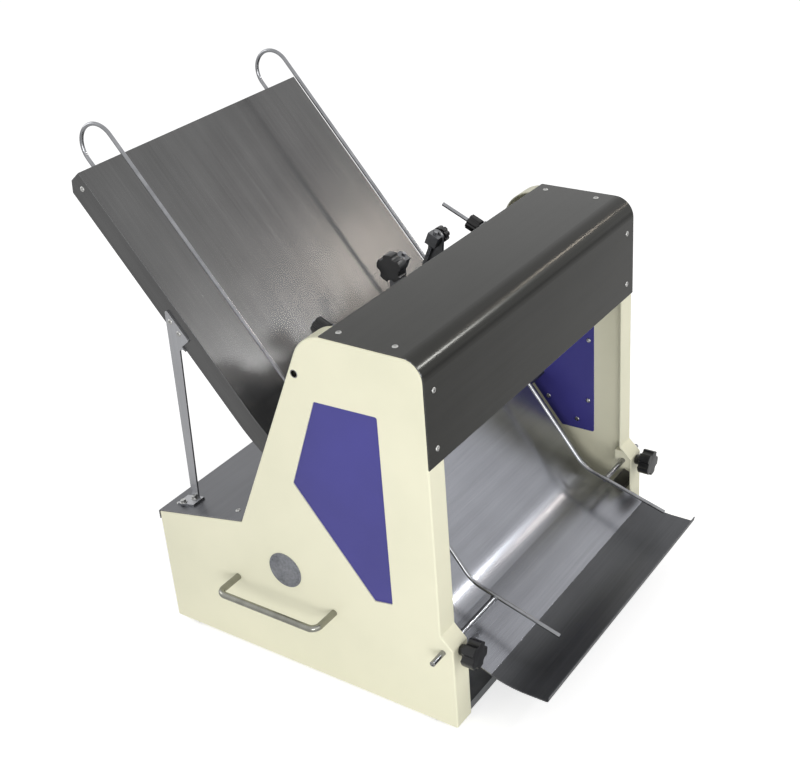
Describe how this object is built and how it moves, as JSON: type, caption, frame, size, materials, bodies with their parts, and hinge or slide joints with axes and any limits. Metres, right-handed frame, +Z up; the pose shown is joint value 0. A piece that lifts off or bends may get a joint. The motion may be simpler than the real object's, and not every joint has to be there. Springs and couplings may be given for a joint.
{
  "type": "bread slicer",
  "caption": "Table-top bread slicer: two interleaved frames of serrated blades driven by eccentrics, with a sloping loading tray, a curved discharge chute and adjustable wire guides.",
  "frame": {"origin": "middle of the overall bounding box, on the surface the feet stand on", "axes": "+Z up, -Y towards the discharge side (front), +Y towards the loading side, X across the machine"},
  "size_m": [0.672, 0.7448, 0.7718],
  "materials": {
    "painted_frame": "ivory powder coat",
    "window_plate": "violet blue powder coat",
    "stainless": "brushed",
    "galvanised_base": "zinc plated",
    "black_plastic": "moulded",
    "rubber": "matte",
    "bright_rod": "polished",
    "bearing_grey": "grey paint",
    "drive_steel": "machined",
    "pulley_iron": "turned",
    "motor_paint": "hammered paint",
    "frame_aluminium": "milled",
    "blade_steel": "ground"
  },
  "bodies": {
    "machine": {"base_plate": "galvanised_base", "bearing_cap_left": "bearing_grey", "bearing_cap_right": "bearing_grey", "bearing_left": "bearing_grey", "bearing_right": "bearing_grey", "blade_guide_left": "galvanised_base", "blade_guide_right": "galvanised_base", "cable_gland": "black_plastic", "carry_handle_left": "bright_rod", "carry_handle_right": "bright_rod", "catch_tray": "stainless", "cross_rod": "bright_rod", "discharge_chute": "stainless", "front_clamp_left": "galvanised_base", "front_clamp_right": "galvanised_base", "holddown_arm_left": "drive_steel", "holddown_arm_right": "drive_steel", "loading_tray": "stainless", "motor": "motor_paint", "motor_bracket": "galvanised_base", "rear_panel": "stainless", "rear_shelf": "stainless", "rubber_feet": "rubber", "side_frame_left": "painted_frame", "side_frame_right": "painted_frame", "tie_bar_chute": "stainless", "tie_bar_front": "stainless", "tie_bar_top": "stainless", "top_cover": "stainless", "tray_rod": "bright_rod", "tray_strut_left": "stainless", "tray_strut_right": "stainless", "v_belt": "rubber", "window_panel_left": "window_plate", "window_panel_right": "window_plate"},
    "crank": {"crankshaft": "drive_steel", "crank_pulley": "pulley_iron"},
    "motor_rotor": {"motor_pulley": "pulley_iron"},
    "blade_set_front": {"blade_frame_front": "frame_aluminium", "blades_front": "blade_steel"},
    "blade_set_rear": {"blade_frame_rear": "frame_aluminium", "blades_rear": "blade_steel"},
    "rod_front_left": {"con_rod_front_left": "drive_steel"},
    "rod_front_right": {"con_rod_front_right": "drive_steel"},
    "rod_rear_left": {"con_rod_rear_left": "drive_steel"},
    "rod_rear_right": {"con_rod_rear_right": "drive_steel"},
    "discharge_guide_left": {"discharge_guide_left": "bright_rod"},
    "discharge_guide_right": {"discharge_guide_right": "bright_rod"},
    "front_knob_left": {"front_knob_left": "black_plastic"},
    "front_knob_right": {"front_knob_right": "black_plastic"},
    "loading_guide_left": {"loading_guide_left": "bright_rod", "guide_clamp_left": "drive_steel"},
    "loading_guide_right": {"loading_guide_right": "bright_rod", "guide_clamp_right": "drive_steel"},
    "guide_nut_left": {"guide_nut_left": "bright_rod"},
    "guide_nut_right": {"guide_nut_right": "bright_rod"},
    "holddown_wire": {"holddown_wire": "bright_rod"},
    "holddown_knob_left": {"holddown_knob_left": "black_plastic"},
    "holddown_knob_right": {"holddown_knob_right": "black_plastic"}
  },
  "joints": [
    {"name": "crank_turn", "type": "hinge", "parent": "machine", "child": "crank", "pos_m": [0, 0.02292, 0.178], "axis": [1, 0, 0], "range_deg": [-90, 90]},
    {"name": "motor_turn", "type": "hinge", "parent": "machine", "child": "motor_rotor", "pos_m": [0, 0.16992, 0.1], "axis": [1, 0, 0], "range_deg": [-271, 271]},
    {"name": "blade_stroke_front", "type": "slide", "parent": "machine", "child": "blade_set_front", "axis": [0, -0.4067, 0.9135], "range_m": [-0.0151, 0.0151]},
    {"name": "blade_stroke_rear", "type": "slide", "parent": "machine", "child": "blade_set_rear", "axis": [0, -0.4067, 0.9135], "range_m": [-0.0151, 0.0151]},
    {"name": "rod_swing_front_left", "type": "hinge", "parent": "crank", "child": "rod_front_left", "pos_m": [-0.2515, 0.00922, 0.1719], "axis": [1, 0, 0], "range_deg": [-90.5, 90.5]},
    {"name": "rod_swing_front_right", "type": "hinge", "parent": "crank", "child": "rod_front_right", "pos_m": [0.2515, 0.00922, 0.1719], "axis": [1, 0, 0], "range_deg": [-90.5, 90.5]},
    {"name": "rod_swing_rear_left", "type": "hinge", "parent": "crank", "child": "rod_rear_left", "pos_m": [-0.263, 0.03662, 0.1841], "axis": [1, 0, 0], "range_deg": [-90.5, 90.5]},
    {"name": "rod_swing_rear_right", "type": "hinge", "parent": "crank", "child": "rod_rear_right", "pos_m": [0.263, 0.03662, 0.1841], "axis": [1, 0, 0], "range_deg": [-90.5, 90.5]},
    {"name": "discharge_guide_slide_left", "type": "slide", "parent": "machine", "child": "discharge_guide_left", "axis": [1, 0, 0], "range_m": [-0.088, 0.022]},
    {"name": "discharge_guide_slide_right", "type": "slide", "parent": "machine", "child": "discharge_guide_right", "axis": [1, 0, 0], "range_m": [-0.016, 0.045]},
    {"name": "front_knob_turn_left", "type": "hinge", "parent": "machine", "child": "front_knob_left", "pos_m": [-0.268, -0.26008, 0.1355], "axis": [0, 1, 0], "range_deg": [-180, 180]},
    {"name": "front_knob_turn_right", "type": "hinge", "parent": "machine", "child": "front_knob_right", "pos_m": [0.268, -0.26008, 0.1355], "axis": [0, 1, 0], "range_deg": [-180, 180]},
    {"name": "loading_guide_slide_left", "type": "slide", "parent": "machine", "child": "loading_guide_left", "axis": [1, 0, 0], "range_m": [-0.02, 0.1]},
    {"name": "guide_nut_turn_left", "type": "hinge", "parent": "loading_guide_left", "child": "guide_nut_left", "pos_m": [-0.206, -0.02595, 0.53608], "axis": [0, 0.9135, 0.4067], "range_deg": [-180, 180]},
    {"name": "loading_guide_slide_right", "type": "slide", "parent": "machine", "child": "loading_guide_right", "axis": [1, 0, 0], "range_m": [-0.078, 0.042]},
    {"name": "guide_nut_turn_right", "type": "hinge", "parent": "loading_guide_right", "child": "guide_nut_right", "pos_m": [0.18, -0.02595, 0.53608], "axis": [0, 0.9135, 0.4067], "range_deg": [-180, 180]},
    {"name": "holddown_height", "type": "slide", "parent": "machine", "child": "holddown_wire", "axis": [0, -0.4067, 0.9135], "range_m": [-0.004, 0.06]},
    {"name": "holddown_knob_turn_left", "type": "hinge", "parent": "machine", "child": "holddown_knob_left", "pos_m": [-0.06, -0.04328, 0.56887], "axis": [1, 0, 0], "range_deg": [-180, 180]},
    {"name": "holddown_knob_turn_right", "type": "hinge", "parent": "machine", "child": "holddown_knob_right", "pos_m": [0.06, -0.04328, 0.56887], "axis": [1, 0, 0], "range_deg": [-180, 180]}
  ],
  "couplings": [
    {"joint": "motor_turn", "follows": "crank_turn", "ratio": 3},
    {"joint": "blade_stroke_front", "follows": "crank_turn", "m_per_rad": -0.0095493},
    {"joint": "blade_stroke_rear", "follows": "crank_turn", "m_per_rad": 0.0095493},
    {"joint": "rod_swing_front_left", "follows": "crank_turn", "ratio": -1},
    {"joint": "rod_swing_front_right", "follows": "crank_turn", "ratio": -1},
    {"joint": "rod_swing_rear_left", "follows": "crank_turn", "ratio": -1},
    {"joint": "rod_swing_rear_right", "follows": "crank_turn", "ratio": -1}
  ]
}
